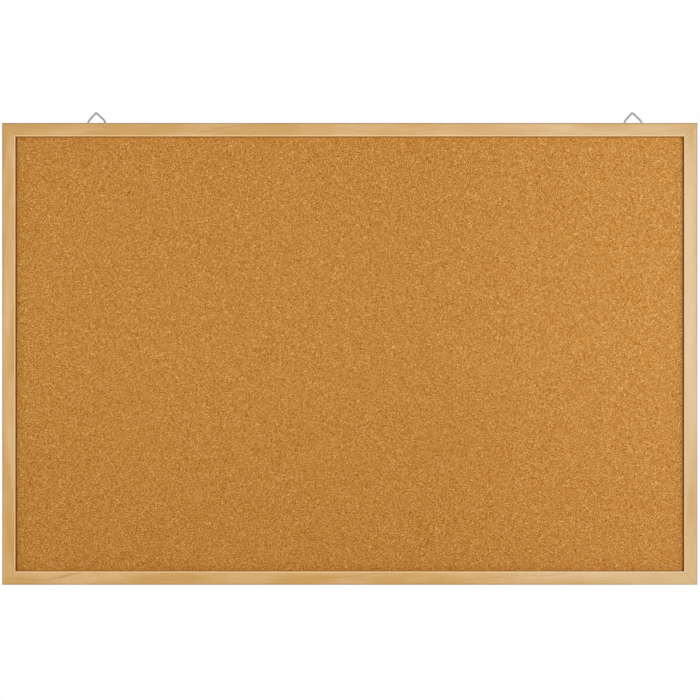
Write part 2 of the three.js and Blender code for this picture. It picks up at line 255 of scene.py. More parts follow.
class HangerSettings(bpy.types.PropertyGroup):
    """Sizes and colours of the rings, straps, screws and V-nails"""

    foot_round: FloatProperty(
        name="Foot Round", description="Radius of the ring's two bottom corners, to the wire's centre",
        default=0.004, min=0.002, max=0.008, unit="LENGTH",
    )
    side_round: FloatProperty(
        name="Side Round", description="Radius of the ring's bowed sides, to the wire's centre",
        default=0.0105, min=0.004, max=0.0115, unit="LENGTH",
    )
    apex_round: FloatProperty(
        name="Apex Round", description="Radius of the ring's top corner, to the wire's centre",
        default=0.002, min=0.001, max=0.006, unit="LENGTH",
    )
    apex_shift: FloatProperty(
        name="Apex Shift", description="How far the top corner stands off the ring's middle",
        default=-0.00085, min=-0.003, max=0.003, unit="LENGTH",
    )
    wire_sides: IntProperty(name="Wire Sides", description="Faces round the wire", default=32, min=8, max=96)
    steel_colour: FloatVectorProperty(
        name="Plated Steel", description="Colour of the plating on the rings, straps and screws",
        default=tone(143, 144, 146), **COLOUR,
    )
    nail_colour: FloatVectorProperty(
        name="Nail Steel", description="Colour of the bare steel of the V-nails",
        default=tone(150, 151, 152), **COLOUR,
    )


class StudioSettings(bpy.types.PropertyGroup):
    """The camera, the lamps and the floor"""

    camera_distance: FloatProperty(
        name="Camera Distance", description="From the lens to the frame's front face",
        default=1.3, min=0.5, unit="LENGTH",
    )
    picture_width: FloatProperty(
        name="Picture Width", description="What the picture takes in at the frame's front face",
        default=0.9043, min=0.1, unit="LENGTH",
    )
    camera_rise: FloatProperty(
        name="Camera Rise", description="Height of the lens above the middle of the board",
        default=0.005, unit="LENGTH",
    )
    right_power: FloatProperty(
        name="Right Softbox", description="Power of the lamp on the right in front of the board",
        default=35, min=0, unit="POWER",
    )
    left_power: FloatProperty(
        name="Left Softbox", description="Power of the lamp on the left in front of the board",
        default=15, min=0, unit="POWER",
    )
    rear_power: FloatProperty(
        name="Rear Softboxes", description="Power of each of the two lamps behind the board",
        default=34, min=0, unit="POWER",
    )
    fill_strength: FloatProperty(
        name="Fill", description="Strength of the even light from all sides", default=0.35, min=0
    )
    floor_drop: FloatProperty(
        name="Floor Drop", description="How far the floor lies below the board",
        default=0.9, min=0.1, unit="LENGTH",
    )
    floor_colour: FloatVectorProperty(
        name="Floor", description="Colour of the floor",
        default=tone(240, 239, 237), **COLOUR,
    )


# Shapes: a shell is a grid of points, or several, with the faces that close it.


def arc(centre, radius, start, end, steps):
    """Points at centre plus radius times (cos a, sin a), while a runs evenly from start to end."""
    angle = np.linspace(start, end, steps + 1)
    return np.asarray(centre) + radius * np.stack([np.cos(angle), np.sin(angle)], axis=-1)


def loops_of(x, y, z):
    """Rows of points from their x, y and z: one row is the loop of points at one station."""
    return np.stack(np.broadcast_arrays(x, y, z), axis=-1)


def enclosed_volume(rows):
    """Six times the volume inside loops of points, by summing the corner products of its triangles."""
    beside = np.roll(rows, -1, axis=1)
    a, b, c, d = rows[:-1], beside[:-1], beside[1:], rows[1:]
    sides = np.einsum("ijk,ijk->", a, np.cross(b, c)) + np.einsum("ijk,ijk->", a, np.cross(c, d))
    first = np.cross(rows[0, 1:-1], rows[0, 2:]) @ rows[0, 0]
    last = np.cross(rows[-1, 1:-1], rows[-1, 2:]) @ rows[-1, 0]
    return sides - first.sum() + last.sum()


def shell_of(rows):
    """Points and faces of a closed surface: rows[i, j] is point j round the closed loop at station i.

    Neighbouring loops are joined by four-sided faces, and the first and last loops are filled by one
    face each. Where that comes out facing inward, every loop is run the other way round.
    """
    if enclosed_volume(rows - rows.mean(axis=(0, 1))) < 0:
        rows = rows[:, ::-1]
    stations, around = rows.shape[:2]
    index = np.arange(stations * around).reshape(stations, around)
    beside = np.roll(index, -1, axis=1)
    quads = np.stack([index[:-1], beside[:-1], beside[1:], index[1:]], axis=-1)
    corners = np.concatenate([quads.ravel(), index[0, ::-1], index[-1]])
    counts = np.concatenate([np.full(quads.size // 4, 4), [around, around]])
    return rows.reshape(-1, 3), corners, counts


def joined(shells):
    """Several shells as one, each one's point numbers moved on by the points before it."""
    before = np.cumsum([0] + [len(points) for points, _, _ in shells])
    return (
        np.concatenate([points for points, _, _ in shells]),
        np.concatenate([corners + start for (_, corners, _), start in zip(shells, before)]),
        np.concatenate([counts for _, _, counts in shells]),
    )


def cylinder(centre, radius, low, high, sides=48):
    """A round bar along Y between low and high: the circle of that radius, carried straight."""
    circle = arc(centre, radius, 0, 2 * math.pi, sides)[:-1]
    return shell_of(loops_of(circle[:, 0], np.array([[low], [high]]), circle[:, 1]))


def mesh_of(name, shell):
    """A shell as a mesh."""
    points, corners, counts = shell
    mesh = bpy.data.meshes.new(name)
    mesh.vertices.add(len(points))
    mesh.vertices.foreach_set("co", points.astype(np.float32).ravel())
    mesh.loops.add(len(corners))
    mesh.loops.foreach_set("vertex_index", corners.astype(np.int32))
    mesh.polygons.add(len(counts))
    mesh.polygons.foreach_set("loop_start", (np.cumsum(counts) - counts).astype(np.int32))
    mesh.update(calc_edges=True)
    return mesh


def cut_away(made, cutter):
    """Takes the cutter's shape out of a piece and keeps the result as the piece's own mesh."""
    tool = bpy.data.objects.new("cutter", mesh_of("cutter", cutter))
    bpy.context.scene.collection.objects.link(tool)
    cut = made.modifiers.new("cut", "BOOLEAN")
    cut.operation = "DIFFERENCE"
    cut.solver = "EXACT"
    cut.object = tool
    graph = bpy.context.evaluated_depsgraph_get()
    result = bpy.data.meshes.new_from_object(made.evaluated_get(graph), depsgraph=graph)
    made.modifiers.clear()
    made.data = result
    bpy.data.objects.remove(tool)


def soften(mesh):
    """Shades faces smoothly into each other, except where they meet at a sharp angle."""
    mesh.polygons.foreach_set("use_smooth", np.ones(len(mesh.polygons), bool))
    mesh.set_sharp_from_angle(angle=SMOOTH_ANGLE)


def piece(name, shell, body, replaced, material, cutter=None):
    """A finished piece of the board: its mesh cut, smoothed, coloured and fixed to its body."""
    if name in bpy.data.objects:
        bpy.data.objects.remove(bpy.data.objects[name])
    made = bpy.data.objects.new(name, mesh_of(name, shell))
    bpy.context.scene.collection.objects.link(made)
    if cutter is not None:
        cut_away(made, cutter)
    soften(made.data)
    made.data.materials.append(material)
    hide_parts(replaced)
    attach(made, body)


def refinish(node, material):
    """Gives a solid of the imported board, kept as it is, its material."""
    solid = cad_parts[node]
    solid.data.materials.clear()
    solid.data.materials.append(material)


# Materials


def add_node(tree, kind, inputs=None, **settings):
    """A shader node with its settings, and its sockets set to values or joined to other sockets."""
    made = tree.nodes.new(kind)
    for name, value in settings.items():
        setattr(made, name, value)
    for name, value in (inputs or {}).items():
        if isinstance(value, bpy.types.NodeSocket):
            tree.links.new(value, made.inputs[name])
        else:
            made.inputs[name].default_value = value
    return made


def new_finish(name, **sockets):
    """A material with one Principled shader whose plain values are set on its own sockets."""
    if name in bpy.data.materials:
        bpy.data.materials.remove(bpy.data.materials[name])
    material = bpy.data.materials.new(name)
    material.use_nodes = True
    tree = material.node_tree
    tree.nodes.clear()
    shader = add_node(tree, "ShaderNodeBsdfPrincipled", {k.replace("_", " "): v for k, v in sockets.items()})
    add_node(tree, "ShaderNodeOutputMaterial", {"Surface": shader.outputs["BSDF"]})
    return material, tree, shader


def vary(tree, shader, **sockets):
    """Joins values that vary over the surface to the shader's sockets."""
    for name, value in sockets.items():
        tree.links.new(value, shader.inputs[name.replace("_", " ")])


def raise_surface(tree, shader, height, depth):
    """Lifts the shading where height is 1 by depth metres."""
    bump = add_node(tree, "ShaderNodeBump", {"Height": height, "Distance": depth, "Strength": 1.0})
    vary(tree, shader, Normal=bump.outputs["Normal"])


def place_on(tree, scale=(1, 1, 1), turn=(0, 0, 0), move=(0, 0, 0)):
    """Places on the board, moved, turned and stretched."""
    where = add_node(tree, "ShaderNodeTexCoord")
    mapping = add_node(
        tree,
        "ShaderNodeMapping",
        {"Vector": where.outputs["Object"], "Location": move, "Rotation": turn, "Scale": scale},
    )
    return mapping.outputs["Vector"]


def axes_of_place(tree):
    """The x, y and z of a place on the board."""
    where = add_node(tree, "ShaderNodeTexCoord")
    apart = add_node(tree, "ShaderNodeSeparateXYZ", {0: where.outputs["Object"]})
    return [apart.outputs[axis] for axis in "XYZ"]


def noise(tree, place, scale, detail=2.0, roughness=0.5, distortion=0.0, output="Fac"):
    """Cloudy random values, about scale clouds to a unit of length. The output Color holds three."""
    inputs = {"Vector": place, "Scale": scale, "Detail": detail, "Roughness": roughness}
    made = add_node(tree, "ShaderNodeTexNoise", {**inputs, "Distortion": distortion})
    return made.outputs[output]


def spread(tree, value, low, high, to_low=0.0, to_high=1.0):
    """A value from low to high, carried over to the range to_low to to_high and held there."""
    made = add_node(
        tree,
        "ShaderNodeMapRange",
        {"Value": value, "From Min": low, "From Max": high, "To Min": to_low, "To Max": to_high},
    )
    return made.outputs["Result"]


def reckon(tree, operation, first, second=0.0):
    """One step of arithmetic on one or two values."""
    return add_node(tree, "ShaderNodeMath", {0: first, 1: second}, operation=operation).outputs["Value"]


def times(tree, first, second):
    """Two values multiplied."""
    return reckon(tree, "MULTIPLY", first, second)


def reckon_places(tree, operation, inputs, output="Vector"):
    """One step of arithmetic on places, its inputs by the number or name of their socket."""
    return add_node(tree, "ShaderNodeVectorMath", inputs, operation=operation).outputs[output]


def blend(tree, share, first, second, mode="MIX"):
    """The first colour, with that share of the second laid over it."""
    first, second = (
        value if isinstance(value, bpy.types.NodeSocket) else (*value, 1.0) for value in (first, second)
    )
    inputs = {0: share, 6: first, 7: second}
    return add_node(tree, "ShaderNodeMix", inputs, data_type="RGBA", blend_type=mode).outputs[2]


def between(first, second, share):
    """A plain colour with that share of the second in it."""
    return tuple((1 - share) * a + share * b for a, b in zip(first, second))


def toned(colour, share):
    """A plain colour made darker, or with a share above 1 lighter, but no lighter than white."""
    return tuple(min(1.0, share * value) for value in colour)


def in_from_edge(tree):
    """How far a place lies in from the board's outline seen from the front, and its y and x.

    The first is the smaller of half the width less |x| and half the height less |z - middle|.
    """
    x, y, z = axes_of_place(tree)
    across = reckon(tree, "ABSOLUTE", x)
    rise = reckon(tree, "ABSOLUTE", reckon(tree, "SUBTRACT", z, MIDDLE_Z))
    from_side = reckon(tree, "SUBTRACT", OUTER_HIGH.x, across)
    from_top = reckon(tree, "SUBTRACT", OUTER_HIGH.z - MIDDLE_Z, rise)
    return reckon(tree, "MINIMUM", from_side, from_top), y, x


def pale_wood(name, settings, along, seed):
    """Lacquered pale wood, its grain running along X or Z, with its own streaks and growth lines.

    The wood is painted paler towards the board's right-hand end, a painted sheen. The arris round the
    opening carries a painted highlight, and painted shade greys the outer one. The wood in front of the
    cork is painted a dull brown, as the shade in the recess, on the rails, whose grain runs along X, less
    than on the stiles.
    """
    material, tree, shader = new_finish(name, Coat_Roughness=0.3, Coat_IOR=1.5)
    move = tuple(seed * step for step in GRAIN_STEP)

    def grain(lengthwise, deep, across, turn=0.0):
        """Places stretched along the grain, through the wood and across it."""
        scale = (lengthwise, deep, across) if along == "X" else (across, deep, lengthwise)
        return place_on(tree, scale, (0, turn if along == "X" else -turn, 0), move)

    cloud = noise(tree, grain(9, 40, 48), 1.0, detail=3, roughness=0.5)
    drift = noise(tree, grain(4, 30, 30), 1.0, detail=2)
    fibre = noise(tree, grain(45, 2200, 2200), 1.0, detail=3, roughness=0.65)
    fleck = noise(tree, grain(220, 2600, 2600), 1.0, detail=1)
    bands = add_node(
        tree,
        "ShaderNodeTexWave",
        {
            "Vector": grain(1.0, 3.0, 3.6, math.radians(12)),
            "Scale": 4.2,
            "Distortion": 6.5,
            "Detail": 2.0,
            "Detail Scale": 1.1,
            "Detail Roughness": 0.5,
        },
        wave_type="BANDS",
        bands_direction="Z" if along == "X" else "X",
        wave_profile="SAW",
    )
    line = spread(tree, bands.outputs["Fac"], 0.9, 1.0)
    faint = times(tree, line, spread(tree, drift, 0.4, 0.62, 0.0, 0.6))
    colour = blend(tree, spread(tree, cloud, 0.38, 0.62), settings.wood_colour, settings.pale_colour)
    colour = blend(tree, faint, colour, settings.line_colour)
    colour = blend(tree, spread(tree, fibre, 0.45, 0.72, 0.0, 0.3), colour, settings.line_colour)
    colour = blend(tree, spread(tree, fleck, 0.64, 0.76, 0.0, 0.45), colour, settings.line_colour)

    inward, depth, sideways = in_from_edge(tree)
    # Painted shade on the outer arris, greyer where it rounds away from the front face.
    arris_shade_depth = spread(tree, depth, *(OUTER_LOW.y + back for back in ARRIS_SHADE_BACK))
    arris_shade = times(tree, spread(tree, inward, *ARRIS_SHADE_IN, 0.0, 0.8), arris_shade_depth)
    arris_shade = times(tree, arris_shade, spread(tree, fibre, 0.35, 0.65, 0.6, 1.0))
    colour = blend(tree, arris_shade, colour, settings.arris_shade_colour)
    # Painted highlight along the arris round the opening.
    arris_highlight = spread(tree, inward, *(RAIL_WIDTH - out for out in ARRIS_HIGHLIGHT_OUT))
    arris_highlight = times(tree, arris_highlight, spread(tree, fibre, 0.2, 0.6, 0.7, 1.0))
    colour = blend(tree, arris_highlight, colour, settings.arris_highlight_colour)
    # Painted sheen: the wood pales towards the board's right-hand end.
    painted_sheen = spread(tree, sideways, WOOD_SHEEN_START, OPENING_RIGHT, 0.0, WOOD_SHEEN)
    painted_sheen = times(tree, painted_sheen, spread(tree, drift, 0.36, 0.64, 0.3, 1.7))
    colour = blend(tree, painted_sheen, colour, settings.painted_sheen_colour)

    # Painted shade on the recess wall in front of the cork, less on the rails than on the stiles, with less
    # gloss there.
    wall = spread(tree, inward, *(RAIL_WIDTH - out for out in RECESS_SHADE_OUT))
    recess_shade = times(tree, wall, spread(tree, depth, CORK_LOW.y, CORK_LOW.y - RECESS_SHADE_AHEAD))
    recess_shade = times(tree, recess_shade, spread(tree, fibre, 0.3, 0.7, 0.97, 0.84))
    strength = RECESS_SHADE_ON_RAILS if along == "X" else 1.0
    colour = blend(tree, recess_shade, colour, between(settings.wood_colour, settings.recess_shade_colour, strength))
    gloss = spread(tree, recess_shade, 0.0, 1.0, LACQUER_GLOSS, LACQUER_GLOSS * (1 - strength))
    rough = spread(tree, fibre, 0.3, 0.7, 0.4, 0.5)
    vary(tree, shader, Coat_Weight=gloss, Specular_IOR_Level=gloss, Base_Color=colour, Roughness=rough)
    raise_surface(tree, shader, fibre, depth=0.000012)
    return material


def granulated_cork(settings):
    """Pressed cork: fine granules of two sizes, each its own tone, with thin gaps and bark flecks.

    The granules are the cells round random points, their outlines roughened by noise. A painted sheen
    makes the sheet a little paler towards the board's right-hand end, and painted shade darkens it
    towards its foot.
    """
    material, tree, shader = new_finish("granulated_cork", Roughness=0.9, Specular_IOR_Level=0.12)
    place = place_on(tree)
    ragged = noise(tree, place, 1300, detail=2, roughness=0.6, output="Color")
    offset = reckon_places(tree, "SUBTRACT", {0: ragged, 1: (0.5, 0.5, 0.5)})
    offset = reckon_places(tree, "SCALE", {0: offset, "Scale": settings.granule_size})
    torn = reckon_places(tree, "ADD", {0: place, 1: offset})

    def cells(size, feature, output):
        """One value of the cells round random points that lie about size apart."""
        made = add_node(tree, "ShaderNodeTexVoronoi", {"Vector": torn, "Scale": 1 / size}, feature=feature)
        return made.outputs[output]

    def either(share, first, second):
        """The first value, or with a share of 1 the second."""
        return add_node(tree, "ShaderNodeMix", {0: share, 2: first, 3: second}, data_type="FLOAT").outputs[0]

    shades, gaps = [], []
    for size in (settings.granule_size, settings.granule_size * SMALL_GRANULE):
        apart = add_node(tree, "ShaderNodeSeparateColor", {0: cells(size, "F1", "Color")})
        shades.append(apart.outputs["Red"])
        gaps.append(spread(tree, cells(size, "DISTANCE_TO_EDGE", "Distance"), 0.0, 0.12, 1.0, 0.0))
    choice = spread(tree, noise(tree, place, 300, detail=1), 0.47, 0.53)
    shade = either(choice, *shades)
    gap = either(choice, *gaps)
    ramp = add_node(tree, "ShaderNodeValToRGB", {"Fac": shade})
    main, dark, light = settings.cork_colour, settings.dark_cork, settings.light_cork
    stops = (
        (0.0, dark),
        (0.13, between(dark, main, 0.45)),
        (0.33, between(dark, main, 0.82)),
        (0.55, main),
        (0.78, between(main, light, 0.45)),
        (1.0, light),
    )
    elements = ramp.color_ramp.elements
    while len(elements) < len(stops):
        elements.new(0.5)
    for element, (position, colour) in zip(elements, stops):
        element.position = position
        element.color = (*colour, 1.0)
    pores = noise(tree, place, 2900, detail=2, roughness=0.6)
    colour = blend(tree, spread(tree, pores, 0.35, 0.7, 0.0, 0.22), ramp.outputs["Color"], dark)
    colour = blend(tree, times(tree, gap, 0.35), colour, dark)
    bark = spread(tree, noise(tree, place, 560, detail=1), 0.7, 0.76)
    colour = blend(tree, times(tree, bark, 0.6), colour, dark)

    x, _, z = axes_of_place(tree)
    # Painted sheen: the cork is paler towards the board's right-hand end.
    painted_sheen = spread(tree, x, CORK_SHEEN_START, OPENING_RIGHT)
    colour = blend(tree, painted_sheen, colour, CORK_SHEEN_TINT, "MULTIPLY")
    # Painted shade: the cork darkens towards its foot.
    foot_shade = spread(tree, z, CORK_FOOT, MIDDLE_Z, 1.0, 0.0)
    colour = blend(tree, foot_shade, colour, CORK_FOOT_SHADE, "MULTIPLY")
    vary(tree, shader, Base_Color=colour)
    height = reckon(tree, "ADD", times(tree, shade, 0.5), times(tree, pores, 0.3))
    height = reckon(tree, "SUBTRACT", height, times(tree, gap, 0.7))
    raise_surface(tree, shader, height, depth=0.00007)
    return material


def kraft_paper(settings):
    """Brown paper: faint fibres that mostly lie along the roll, cloudy pulp and small bark specks."""
    material, tree, shader = new_finish("kraft_paper", Specular_IOR_Level=0.3)
    wander = noise(tree, place_on(tree), 160, detail=2, distortion=0.6)
    lengthwise = noise(tree, place_on(tree, (330, 500, 900)), 1.0, detail=4, roughness=0.7, distortion=1.4)
    pulp = noise(tree, place_on(tree), 1100, detail=3, roughness=0.7)
    cloud = noise(tree, place_on(tree), 38, detail=4, roughness=0.6)
    fibres = reckon(tree, "ADD", times(tree, lengthwise, 0.6), times(tree, pulp, 0.4))
    main = settings.paper_colour
    dark, light = toned(main, 0.88), toned(main, 1.08)
    colour = blend(tree, spread(tree, fibres, 0.38, 0.62), dark, light)
    colour = blend(tree, spread(tree, cloud, 0.38, 0.64, 0.0, 0.4), colour, between(main, dark, 0.7))
    colour = blend(tree, spread(tree, wander, 0.55, 0.75, 0.0, 0.3), colour, light)
    specks = spread(tree, noise(tree, place_on(tree), 950, detail=1), 0.73, 0.79, 0.0, 0.8)
    colour = blend(tree, specks, colour, toned(main, 0.45))
    vary(tree, shader, Base_Color=colour, Roughness=spread(tree, cloud, 0.3, 0.7, 0.7, 0.84))
    raise_surface(tree, shader, fibres, depth=0.00003)
    return material


def fibreboard(settings):
    """Pressed wood fibre: short fibres at all angles in a brown ground."""
    material, tree, shader = new_finish("fibreboard", Roughness=0.92, Specular_IOR_Level=0.2)
    fibres = noise(tree, place_on(tree, (300, 1400, 900)), 1.0, detail=5, roughness=0.7)
    dark, light = toned(settings.core_colour, 0.7), toned(settings.core_colour, 1.15)
    vary(tree, shader, Base_Color=blend(tree, spread(tree, fibres, 0.35, 0.65), dark, light))
    raise_surface(tree, shader, fibres, depth=0.0001)
    return material


def steel(name, colour, roughness, grain):
    """Metal with fine scratches and cloudy plating: roughness and tone follow two noises."""
    material, tree, shader = new_finish(name, Metallic=1.0, Specular_Tint=(0.35, 0.35, 0.36, 1.0))
    cloud = noise(tree, place_on(tree), 450, detail=3, roughness=0.6)
    fine = noise(tree, place_on(tree, grain), 1.0, detail=3, roughness=0.6)
    clouded = blend(tree, spread(tree, cloud, 0.35, 0.7), colour, toned(colour, 0.78))
    rough = spread(tree, fine, 0.3, 0.7, roughness - 0.06, roughness + 0.1)
    vary(tree, shader, Base_Color=clouded, Roughness=rough)
    raise_surface(tree, shader, fine, depth=0.000006)
    return material


# Frame


def moulding_section(settings):
    """The moulding's outline as (in from the outer edge, out from the wall), once round.

    Straight sides joined by a quarter circle at each front arris, a bevel at each back arris, and the
    groove that holds the panel. Short straight steps beside each quarter circle keep the shading flat.
    """
    width, depth = RAIL_WIDTH, RAIL_DEPTH
    bevel, outer, inner = settings.back_bevel, settings.outer_round, settings.inner_round
    floor = CORK_LOW.x - OUTER_LOW.x - EDGE_GAP
    groove_back = -PAPER_HIGH.y - PANEL_PLAY
    groove_front = -CORK_LOW.y
    step = 0.00025
    return np.concatenate(
        [
            [[bevel, 0], [bevel + step, 0], [width - bevel - step, 0], [width - bevel, 0]],
            [[width, bevel], [width, groove_back], [floor, groove_back], [floor, groove_front]],
            [[width, groove_front], [width, depth - inner - step]],
            arc((width - inner, depth - inner), inner, 0, math.pi / 2, 8),
            [[width - inner - step, depth], [outer + step, depth]],
            arc((outer, depth - outer), outer, math.pi / 2, math.pi, 16),
            [[0, depth - outer - step], [0, bevel + step], [0, bevel]],
        ]
    )


def drawn_in(outline, distance):
    """A closed outline moved inward by a distance, each corner along the middle of its two sides."""
    ahead = np.roll(outline, -1, axis=0) - outline
    ahead /= np.linalg.norm(ahead, axis=1, keepdims=True)
    outward = np.stack([ahead[:, 1], -ahead[:, 0]], axis=-1)
    before = np.roll(outward, 1, axis=0)
    share = 1 + np.einsum("ij,ij->i", outward, before)
    return outline - distance * (outward + before) / share[:, None]


def moulding_length(section, start, end, inward, ease):
    """One side of the frame: the section carried from start to end, both ends cut at 45 degrees.

    A point that lies u in from the outer edge runs from u + gap to length - u - gap, so both cuts
    are planes. The first and last loops are drawn in by the ease, a sanded bevel on the cut's edges.
    """
    start, end, inward = np.array(start), np.array(end), np.array(inward)
    length = np.linalg.norm(end - start)
    along = (end - start) / length
    share = np.concatenate([[0, ease / length], np.linspace(0.01, 0.99, 50), [1 - ease / length, 1]])
    loops = np.repeat(section[None], len(share), axis=0)
    loops[0] = loops[-1] = drawn_in(section, ease)
    u, v = loops[:, :, 0], loops[:, :, 1]
    reach = length - 2 * (u + MITRE_GAP)
    run = u + MITRE_GAP + share[:, None] * reach
    return start + run[..., None] * along + u[..., None] * inward - v[..., None] * np.array((0, 1, 0))


def nail_slot(node, wing_x, wing_z):
    """The slot of one V-nail: an L of two wings of sheet, grown by the fit, carried straight in from
    behind the frame to the nail's front edge."""
    low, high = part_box(node)
    bend_x = low.x if wing_x > 0 else high.x
    bend_z = low.z if wing_z > 0 else high.z
    near, bend, far = -NAIL_FIT, NAIL_SHEET + NAIL_FIT, high.x - low.x + NAIL_FIT
    outline = np.array([[near, near], [far, near], [far, bend], [bend, bend], [bend, far], [near, far]])
    x, z = bend_x + wing_x * outline[:, 0], bend_z + wing_z * outline[:, 1]
    return shell_of(loops_of(x, np.array([[low.y], [CUT_PAST]]), z))


def screw_hole(node):
    """The hole in the top rail for one hanger's screw."""
    x, _, z = middle_of(node)
    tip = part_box(node)[0].y
    return cylinder((x, z), THREAD_ROUND + HOLE_FIT, tip - HOLE_FIT, CUT_PAST)


class CORKBOARD_OT_moulding(bpy.types.Operator):
    """Build the four mitred lengths of moulding, slotted for their V-nails"""

    bl_idname = "corkboard.moulding"
    bl_label = "Moulding"

    def execute(self, context):
        settings = context.scene.corkboard_moulding
        section = moulding_section(settings)
        slots = [nail_slot(node, *wings) for node, wings in V_NAILS.items()]
        cutter = joined(slots + [screw_hole(f"{side}_hanger_screw") for side in SIDES])
        left, right = OUTER_LOW.x, OUTER_HIGH.x
        bottom, top = OUTER_LOW.z, OUTER_HIGH.z
        lengths = (
            # node, from, to, the way to the opening, the grain's axis and which stretch of grain
            ("bottom_rail", (left, 0, bottom), (right, 0, bottom), (0, 0, 1), "X", 17),
            ("right_stile", (right, 0, bottom), (right, 0, top), (-1, 0, 0), "Z", 1),
            ("top_rail", (right, 0, top), (left, 0, top), (0, 0, -1), "X", 32),
            ("left_stile", (left, 0, top), (left, 0, bottom), (1, 0, 0), "Z", 24),
        )
        for node, start, end, inward, along, seed in lengths:
            rows = moulding_length(section, start, end, inward, settings.mitre_ease)
            finish = pale_wood(f"pale_wood_{node}", settings, along, seed)
            piece(f"wood_{node}", shell_of(rows), "board", node, finish, cutter)
        return {"FINISHED"}


class CORKBOARD_OT_v_nails(bpy.types.Operator):
    """Finish the eight V-nails across the backs of the mitres"""

    bl_idname = "corkboard.v_nails"
    bl_label = "V-Nails"

    def execute(self, context):
        settings = context.scene.corkboard_hangers
        finish = steel("nail_steel", settings.nail_colour, roughness=0.38, grain=(900, 60, 900))
        for node in V_NAILS:
            refinish(node, finish)
        return {"FINISHED"}


# Panel


def rolling(shape, width, seed):
    """A smooth random field from -1 to 1: white noise whose waves shorter than about width cells are
    faded by a bell curve over their frequency."""
    white = np.random.default_rng(seed).standard_normal(shape)
    down = np.fft.fftfreq(shape[0])[:, None]
    across = np.fft.rfftfreq(shape[1])[None]
    fade = np.exp(-2 * (math.pi * width) ** 2 * (down**2 + across**2) / 4)
    field = np.fft.irfft2(np.fft.rfft2(white) * fade, s=shape)
    return field / np.abs(field).max()


def held_at_ends(count, steepness):
    """A row of shares, 0 at both ends and 1 further in: steepness times the way in from the nearer end,
    as a share of half the row, and at most 1."""
    return np.clip(steepness * (1 - np.abs(np.linspace(-1, 1, count))), 0, 1)


def sheet(low, high, front, back):
    """A flat layer as loops round it, one loop for each step across.

    front and back are fields of heights over the layer, in metres towards -Y and +Y. Each loop goes up
    the front and down the back.
    """
    columns, steps = front.shape
    x = np.linspace(low.x, high.x, columns)[:, None]
    y = np.concatenate([low.y - front, (high.y + back)[:, ::-1]], axis=1)
    z = np.linspace(low.z, high.z, steps)
    return shell_of(loops_of(x, y, np.concatenate([z, z[::-1]])))


class CORKBOARD_OT_panel(bpy.types.Operator):
    """Build the cork sheet and the backing paper, and finish the fibreboard core between them"""

    bl_idname = "corkboard.panel"
    bl_label = "Panel"

    def execute(self, context):
        settings = context.scene.corkboard_panel
        columns, steps = SHEET_POINTS
        flat = np.zeros(SHEET_POINTS)
        held = held_at_ends(columns, steepness=14)[:, None] * held_at_ends(steps, steepness=10)
        roll = -settings.cork_roll * (0.5 + 0.5 * rolling(SHEET_POINTS, width=5, seed=CORK_SEED)) * held
        cork = sheet(CORK_LOW, CORK_HIGH, roll, flat)
        piece("cork_face", cork, "board", "cork_sheet", granulated_cork(settings))
        blisters = np.clip(rolling(SHEET_POINTS, width=9, seed=PAPER_SEED), 0, 1)
        paper = sheet(PAPER_LOW, PAPER_HIGH, flat, settings.paper_cockle * blisters * held)
        piece("kraft_backing", paper, "board", "backing_paper", kraft_paper(settings))
        refinish("fibreboard_core", fibreboard(settings))
        return {"FINISHED"}


# Hangers


def tangent_angle(start, start_round, end, end_round):
    """The angle of the outward normal of the straight wire that touches two round corners.

    It is the angle of the line between their centres, less a quarter turn, plus the angle whose sine is
    the difference of the radii over the distance.
    """
    run = np.subtract(end, start)
    lean = math.asin((start_round - end_round) / np.linalg.norm(run))
    return (math.atan2(run[1], run[0]) - math.pi / 2 + lean) % (2 * math.pi)


def ring_line(settings, width, height):
    """The ring's centre line in x and z with its outward normals, from one cut end round to the other.

    Quarter circles turn up from the base bar, wider circles bow the sides in, and straight wire
    touches those and the small circle of the apex.
    """
    foot, side, apex = settings.foot_round, settings.side_round, settings.apex_round
    foot_x, side_x = width / 2 - foot, width / 2 - side
    top = (settings.apex_shift, height - apex)
    rise = tangent_angle((side_x, foot), side, top, apex)
    fall = tangent_angle(top, apex, (-side_x, foot), side)
    arcs = (
        ((foot_x, foot), foot, -math.pi / 2, 0, 20),
        ((side_x, foot), side, 0, rise, 24),
        (top, apex, rise, fall, 28),
        ((-side_x, foot), side, fall, math.pi, 24),
        ((-foot_x, foot), foot, math.pi, 1.5 * math.pi, 20),
    )
    points = [arc(*bend) for bend in arcs]
    normals = [arc((0, 0), 1, *bend[2:]) for bend in arcs]
    bar = np.linspace(foot_x, WIRE_JOINT / 2, 12)[:-1]
    right_bar = np.stack([bar[::-1], np.zeros(len(bar))], axis=-1)
    left_bar = np.stack([-bar, np.zeros(len(bar))], axis=-1)
    down = np.tile((0.0, -1.0), (len(bar), 1))
    line = np.concatenate([right_bar, *points, left_bar])
    outward = np.concatenate([down, *normals, down])
    fresh = np.concatenate([[True], np.linalg.norm(np.diff(line, axis=0), axis=1) > 1e-6])
    return line[fresh], outward[fresh]


def round_wire(line, outward, radius, sides, cut_end=0.86):
    """Round wire: at each station a circle of the wire's radius in the plane of the outward normal
    and Y. The circles at the two cut ends are that share as wide, as a cutter leaves them."""
    turn = np.linspace(0, 2 * math.pi, sides, endpoint=False)
    size = np.full(len(line), radius)
    size[[0, -1]] *= cut_end
    reach = size[:, None] * np.cos(turn)
    x = line[:, None, 0] + reach * outward[:, None, 0]
    z = line[:, None, 1] + reach * outward[:, None, 1]
    return loops_of(x, size[:, None] * np.sin(turn), z)


